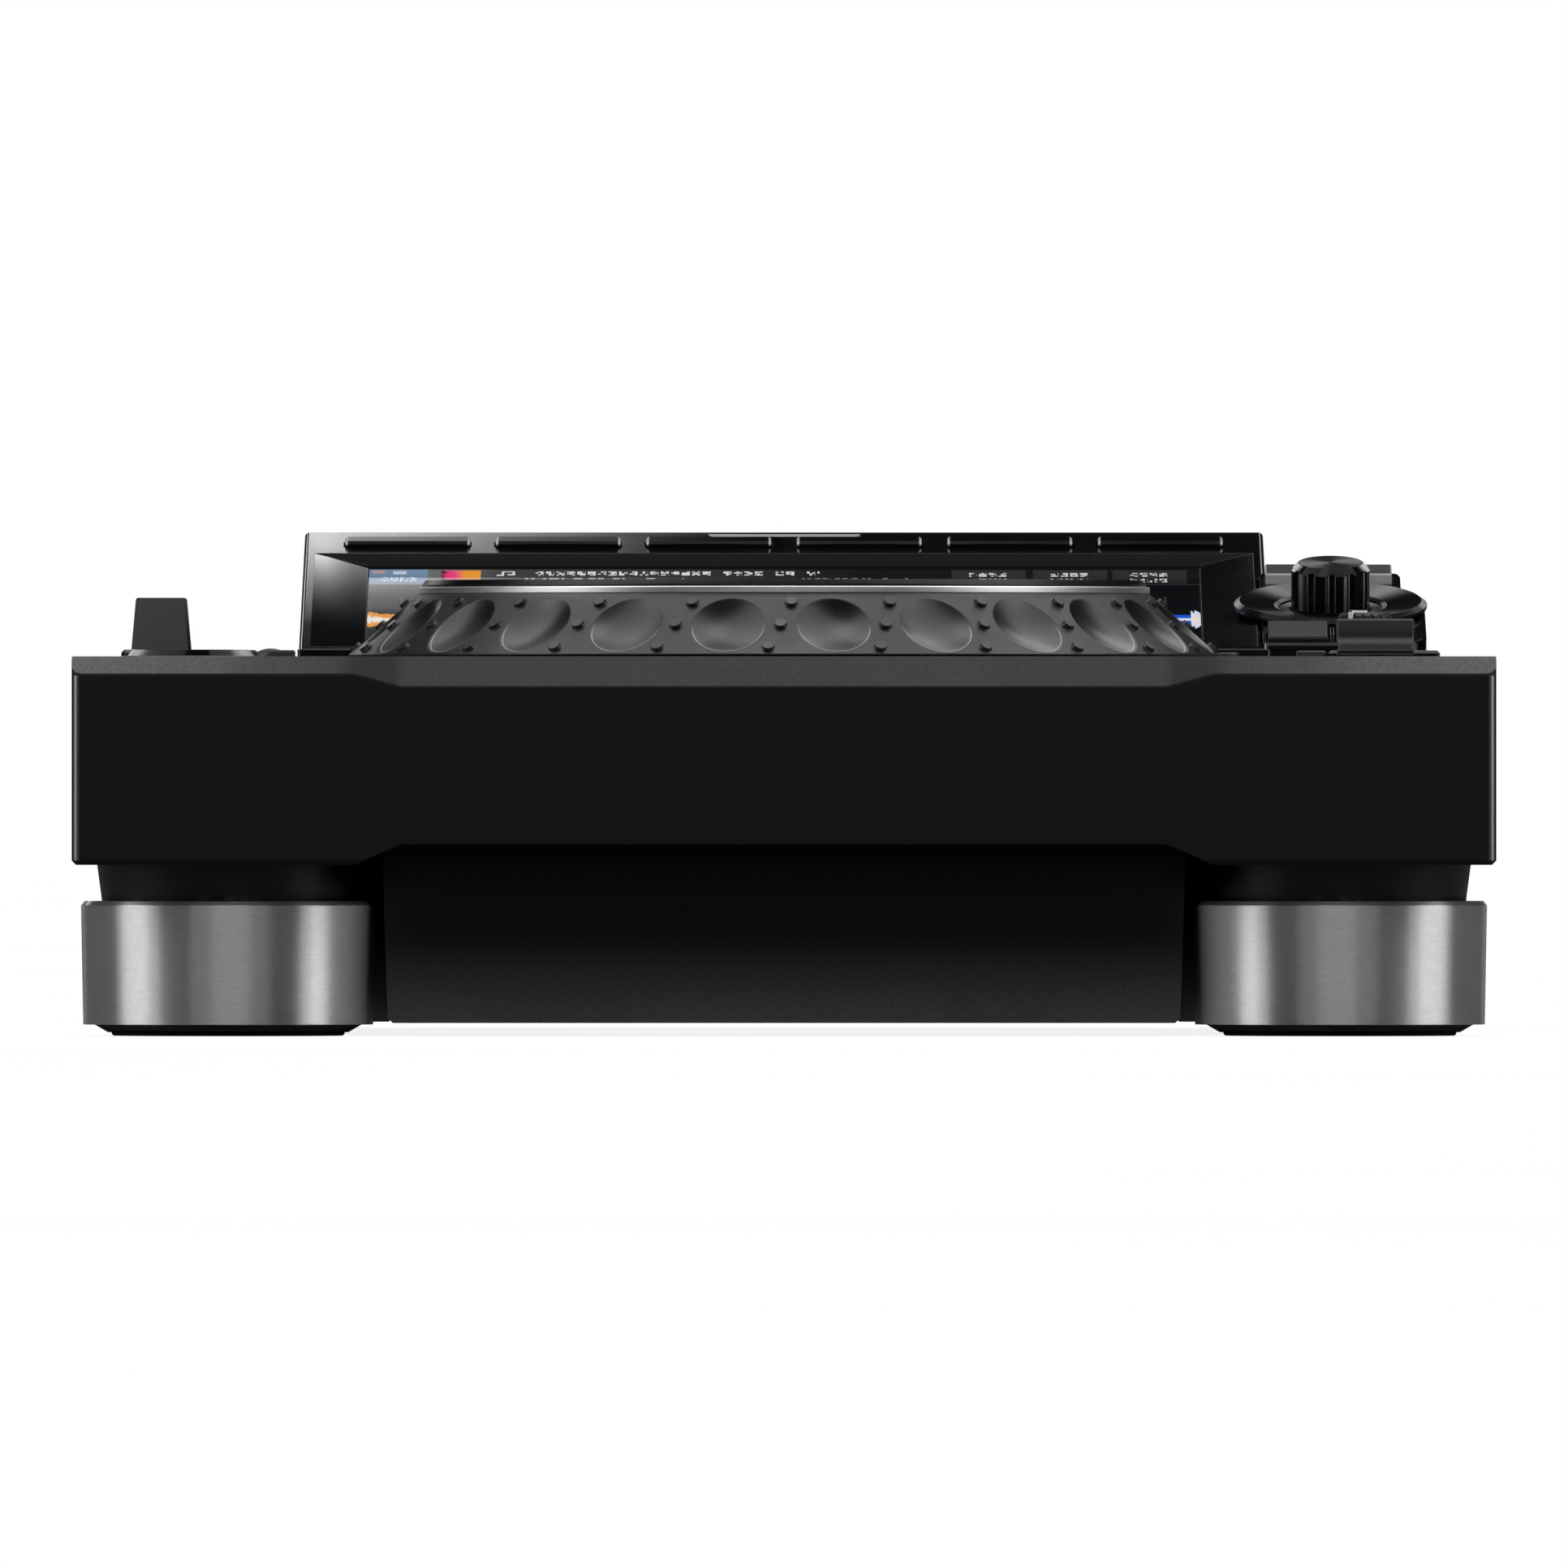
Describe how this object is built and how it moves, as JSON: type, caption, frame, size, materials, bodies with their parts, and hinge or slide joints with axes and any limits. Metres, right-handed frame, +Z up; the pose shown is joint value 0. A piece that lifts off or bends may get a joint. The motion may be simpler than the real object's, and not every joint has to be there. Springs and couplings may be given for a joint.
{
  "type": "dj media player",
  "caption": "Free-standing DJ media player: tilted touch display, dimpled jog wheel, selector dial, tempo fader, direction lever and sprung keys on tall metal-ringed feet.",
  "frame": {"origin": "middle of the overall box on the surface it stands on", "axes": "+Z up, the player's front faces -Y, +X to the right seen from the front"},
  "size_m": [0.329, 0.453, 0.1187],
  "materials": {
    "band_metal": "polished dark metal",
    "board": "green board",
    "case_plastic": "flat near-black",
    "foot_rubber": "matt black",
    "glass": "clear touch glass",
    "gloss_black": "piano black",
    "jog_plastic": "fine speckled dark grey",
    "jog_plate": "black anodised, turned",
    "key_gloss": "gloss black",
    "key_plastic": "satin black",
    "lcd": "display panel",
    "neck_plastic": "satin black",
    "pad_rubber": "grey silicone",
    "pan_steel": "black painted sheet",
    "panel_plastic": "fine speckled dark grey",
    "ring_metal": "fine turned, satin",
    "screw_steel": "black zinc",
    "shield": "plated sheet",
    "socket": "black moulding"
  },
  "bodies": {
    "player": {"main_case": "case_plastic", "top_panel": "panel_plastic", "tempo_plate": "key_gloss", "bottom_pan": "pan_steel", "foot_necks": "neck_plastic", "foot_rings": "ring_metal", "foot_pads": "foot_rubber", "case_screws": "screw_steel", "rear_panel": "pan_steel", "ac_inlet": "socket", "audio_jacks": "shield", "network_ports": "shield", "usb_port": "shield", "display_housing": "gloss_black", "display_glass": "glass", "lcd_module": "lcd", "selector_pedestal": "gloss_black", "selector_ring": "gloss_black", "fader_unit": "shield", "jog_base": "neck_plastic", "jog_display": "key_gloss", "control_board": "board", "main_board": "board", "power_supply": "board"},
    "jog_wheel": {"jog_skirt": "jog_plastic", "jog_band": "band_metal", "jog_top_plate": "jog_plate"},
    "selector_push": {"selector_shaft": "shield"},
    "selector_dial": {"selector_knob": "key_gloss"},
    "menu_key_1": {"menu_key_1": "key_gloss"},
    "menu_key_2": {"menu_key_2": "key_gloss"},
    "menu_key_3": {"menu_key_3": "key_gloss"},
    "menu_key_4": {"menu_key_4": "key_gloss"},
    "menu_key_5": {"menu_key_5": "key_gloss"},
    "menu_key_6": {"menu_key_6": "key_gloss"},
    "back_key": {"back_key": "key_plastic"},
    "tag_key": {"tag_key": "key_plastic"},
    "filter_key": {"filter_key": "key_plastic"},
    "shortcut_key": {"shortcut_key": "key_plastic"},
    "play_key": {"play_key": "key_gloss"},
    "cue_key": {"cue_key": "key_gloss"},
    "hot_cue_pad_1": {"hot_cue_pad_1": "pad_rubber"},
    "hot_cue_pad_2": {"hot_cue_pad_2": "pad_rubber"},
    "hot_cue_pad_3": {"hot_cue_pad_3": "pad_rubber"},
    "hot_cue_pad_4": {"hot_cue_pad_4": "pad_rubber"},
    "hot_cue_pad_5": {"hot_cue_pad_5": "pad_rubber"},
    "hot_cue_pad_6": {"hot_cue_pad_6": "pad_rubber"},
    "hot_cue_pad_7": {"hot_cue_pad_7": "pad_rubber"},
    "hot_cue_pad_8": {"hot_cue_pad_8": "pad_rubber"},
    "loop_in_key": {"loop_in_key": "key_plastic"},
    "loop_out_key": {"loop_out_key": "key_plastic"},
    "track_prev_key": {"track_prev_key": "key_plastic"},
    "track_next_key": {"track_next_key": "key_plastic"},
    "sync_key": {"sync_key": "key_plastic"},
    "master_tempo_key": {"master_tempo_key": "key_plastic"},
    "jog_mode_key": {"jog_mode_key": "key_plastic"},
    "direction_lever": {"direction_lever": "key_plastic"},
    "tempo_fader": {"tempo_fader_cap": "key_plastic"},
    "jog_adjust": {"jog_adjust_knob": "key_plastic"},
    "power_rocker": {"power_rocker": "key_plastic"}
  },
  "joints": [
    {"name": "jog_spin", "type": "hinge", "parent": "player", "child": "jog_wheel", "pos_m": [0, -0.062, 0.095], "axis": [0, 0, 1], "continuous": true},
    {"name": "selector_press", "type": "slide", "parent": "player", "child": "selector_push", "axis": [0, -0.2079, 0.9781], "range_m": [-0.0008, 0], "stiffness_N_per_m": 1200, "springref_m": 0.0005},
    {"name": "selector_turn", "type": "hinge", "parent": "selector_push", "child": "selector_dial", "pos_m": [0.1301, 0.118, 0.0998], "axis": [0, -0.2079, 0.9781], "continuous": true},
    {"name": "menu_key_1_press", "type": "slide", "parent": "player", "child": "menu_key_1", "axis": [0, -0.1908, 0.9816], "range_m": [-0.0006, 0], "stiffness_N_per_m": 800, "springref_m": 0.0005},
    {"name": "menu_key_2_press", "type": "slide", "parent": "player", "child": "menu_key_2", "axis": [0, -0.1908, 0.9816], "range_m": [-0.0006, 0], "stiffness_N_per_m": 800, "springref_m": 0.0005},
    {"name": "menu_key_3_press", "type": "slide", "parent": "player", "child": "menu_key_3", "axis": [0, -0.1908, 0.9816], "range_m": [-0.0006, 0], "stiffness_N_per_m": 800, "springref_m": 0.0005},
    {"name": "menu_key_4_press", "type": "slide", "parent": "player", "child": "menu_key_4", "axis": [0, -0.1908, 0.9816], "range_m": [-0.0006, 0], "stiffness_N_per_m": 800, "springref_m": 0.0005},
    {"name": "menu_key_5_press", "type": "slide", "parent": "player", "child": "menu_key_5", "axis": [0, -0.1908, 0.9816], "range_m": [-0.0006, 0], "stiffness_N_per_m": 800, "springref_m": 0.0005},
    {"name": "menu_key_6_press", "type": "slide", "parent": "player", "child": "menu_key_6", "axis": [0, -0.1908, 0.9816], "range_m": [-0.0006, 0], "stiffness_N_per_m": 800, "springref_m": 0.0005},
    {"name": "back_key_press", "type": "slide", "parent": "player", "child": "back_key", "axis": [0, -0.2079, 0.9781], "range_m": [-0.0006, 0], "stiffness_N_per_m": 800, "springref_m": 0.0005},
    {"name": "tag_key_press", "type": "slide", "parent": "player", "child": "tag_key", "axis": [0, -0.2079, 0.9781], "range_m": [-0.0006, 0], "stiffness_N_per_m": 800, "springref_m": 0.0005},
    {"name": "filter_key_press", "type": "slide", "parent": "player", "child": "filter_key", "axis": [0, -0.2079, 0.9781], "range_m": [-0.0006, 0], "stiffness_N_per_m": 800, "springref_m": 0.0005},
    {"name": "shortcut_key_press", "type": "slide", "parent": "player", "child": "shortcut_key", "axis": [0, -0.2079, 0.9781], "range_m": [-0.0006, 0], "stiffness_N_per_m": 800, "springref_m": 0.0005},
    {"name": "play_key_press", "type": "slide", "parent": "player", "child": "play_key", "axis": [0, 0, 1], "range_m": [-0.0008, 0], "stiffness_N_per_m": 800, "springref_m": 0.0005},
    {"name": "cue_key_press", "type": "slide", "parent": "player", "child": "cue_key", "axis": [0, 0, 1], "range_m": [-0.0008, 0], "stiffness_N_per_m": 800, "springref_m": 0.0005},
    {"name": "hot_cue_pad_1_press", "type": "slide", "parent": "player", "child": "hot_cue_pad_1", "axis": [0, 0, 1], "range_m": [-0.0008, 0], "stiffness_N_per_m": 800, "springref_m": 0.0005},
    {"name": "hot_cue_pad_2_press", "type": "slide", "parent": "player", "child": "hot_cue_pad_2", "axis": [0, 0, 1], "range_m": [-0.0008, 0], "stiffness_N_per_m": 800, "springref_m": 0.0005},
    {"name": "hot_cue_pad_3_press", "type": "slide", "parent": "player", "child": "hot_cue_pad_3", "axis": [0, 0, 1], "range_m": [-0.0008, 0], "stiffness_N_per_m": 800, "springref_m": 0.0005},
    {"name": "hot_cue_pad_4_press", "type": "slide", "parent": "player", "child": "hot_cue_pad_4", "axis": [0, 0, 1], "range_m": [-0.0008, 0], "stiffness_N_per_m": 800, "springref_m": 0.0005},
    {"name": "hot_cue_pad_5_press", "type": "slide", "parent": "player", "child": "hot_cue_pad_5", "axis": [0, 0, 1], "range_m": [-0.0008, 0], "stiffness_N_per_m": 800, "springref_m": 0.0005},
    {"name": "hot_cue_pad_6_press", "type": "slide", "parent": "player", "child": "hot_cue_pad_6", "axis": [0, 0, 1], "range_m": [-0.0008, 0], "stiffness_N_per_m": 800, "springref_m": 0.0005},
    {"name": "hot_cue_pad_7_press", "type": "slide", "parent": "player", "child": "hot_cue_pad_7", "axis": [0, 0, 1], "range_m": [-0.0008, 0], "stiffness_N_per_m": 800, "springref_m": 0.0005},
    {"name": "hot_cue_pad_8_press", "type": "slide", "parent": "player", "child": "hot_cue_pad_8", "axis": [0, 0, 1], "range_m": [-0.0008, 0], "stiffness_N_per_m": 800, "springref_m": 0.0005},
    {"name": "loop_in_key_press", "type": "slide", "parent": "player", "child": "loop_in_key", "axis": [0, 0, 1], "range_m": [-0.0008, 0], "stiffness_N_per_m": 800, "springref_m": 0.0005},
    {"name": "loop_out_key_press", "type": "slide", "parent": "player", "child": "loop_out_key", "axis": [0, 0, 1], "range_m": [-0.0008, 0], "stiffness_N_per_m": 800, "springref_m": 0.0005},
    {"name": "track_prev_key_press", "type": "slide", "parent": "player", "child": "track_prev_key", "axis": [0, 0, 1], "range_m": [-0.0008, 0], "stiffness_N_per_m": 800, "springref_m": 0.0005},
    {"name": "track_next_key_press", "type": "slide", "parent": "player", "child": "track_next_key", "axis": [0, 0, 1], "range_m": [-0.0008, 0], "stiffness_N_per_m": 800, "springref_m": 0.0005},
    {"name": "sync_key_press", "type": "slide", "parent": "player", "child": "sync_key", "axis": [0, 0, 1], "range_m": [-0.0008, 0], "stiffness_N_per_m": 800, "springref_m": 0.0005},
    {"name": "master_tempo_key_press", "type": "slide", "parent": "player", "child": "master_tempo_key", "axis": [0, 0, 1], "range_m": [-0.0008, 0], "stiffness_N_per_m": 800, "springref_m": 0.0005},
    {"name": "jog_mode_key_press", "type": "slide", "parent": "player", "child": "jog_mode_key", "axis": [0, 0, 1], "range_m": [-0.0008, 0], "stiffness_N_per_m": 800, "springref_m": 0.0005},
    {"name": "direction_lever_tilt", "type": "hinge", "parent": "player", "child": "direction_lever", "pos_m": [-0.1457, -0.075, 0.0785], "axis": [1, 0, 0], "range_deg": [-12, 12]},
    {"name": "tempo_slide", "type": "slide", "parent": "player", "child": "tempo_fader", "axis": [0, 1, 0], "range_m": [-0.05, 0.05]},
    {"name": "jog_adjust_turn", "type": "hinge", "parent": "player", "child": "jog_adjust", "pos_m": [0.1366, -0.018, 0.09], "axis": [0, 0, -1], "range_deg": [0, 294]},
    {"name": "power_rocker_tilt", "type": "hinge", "parent": "player", "child": "power_rocker", "pos_m": [0.07, 0.213, 0.063], "axis": [1, 0, 0], "range_deg": [-14, 0]}
  ]
}
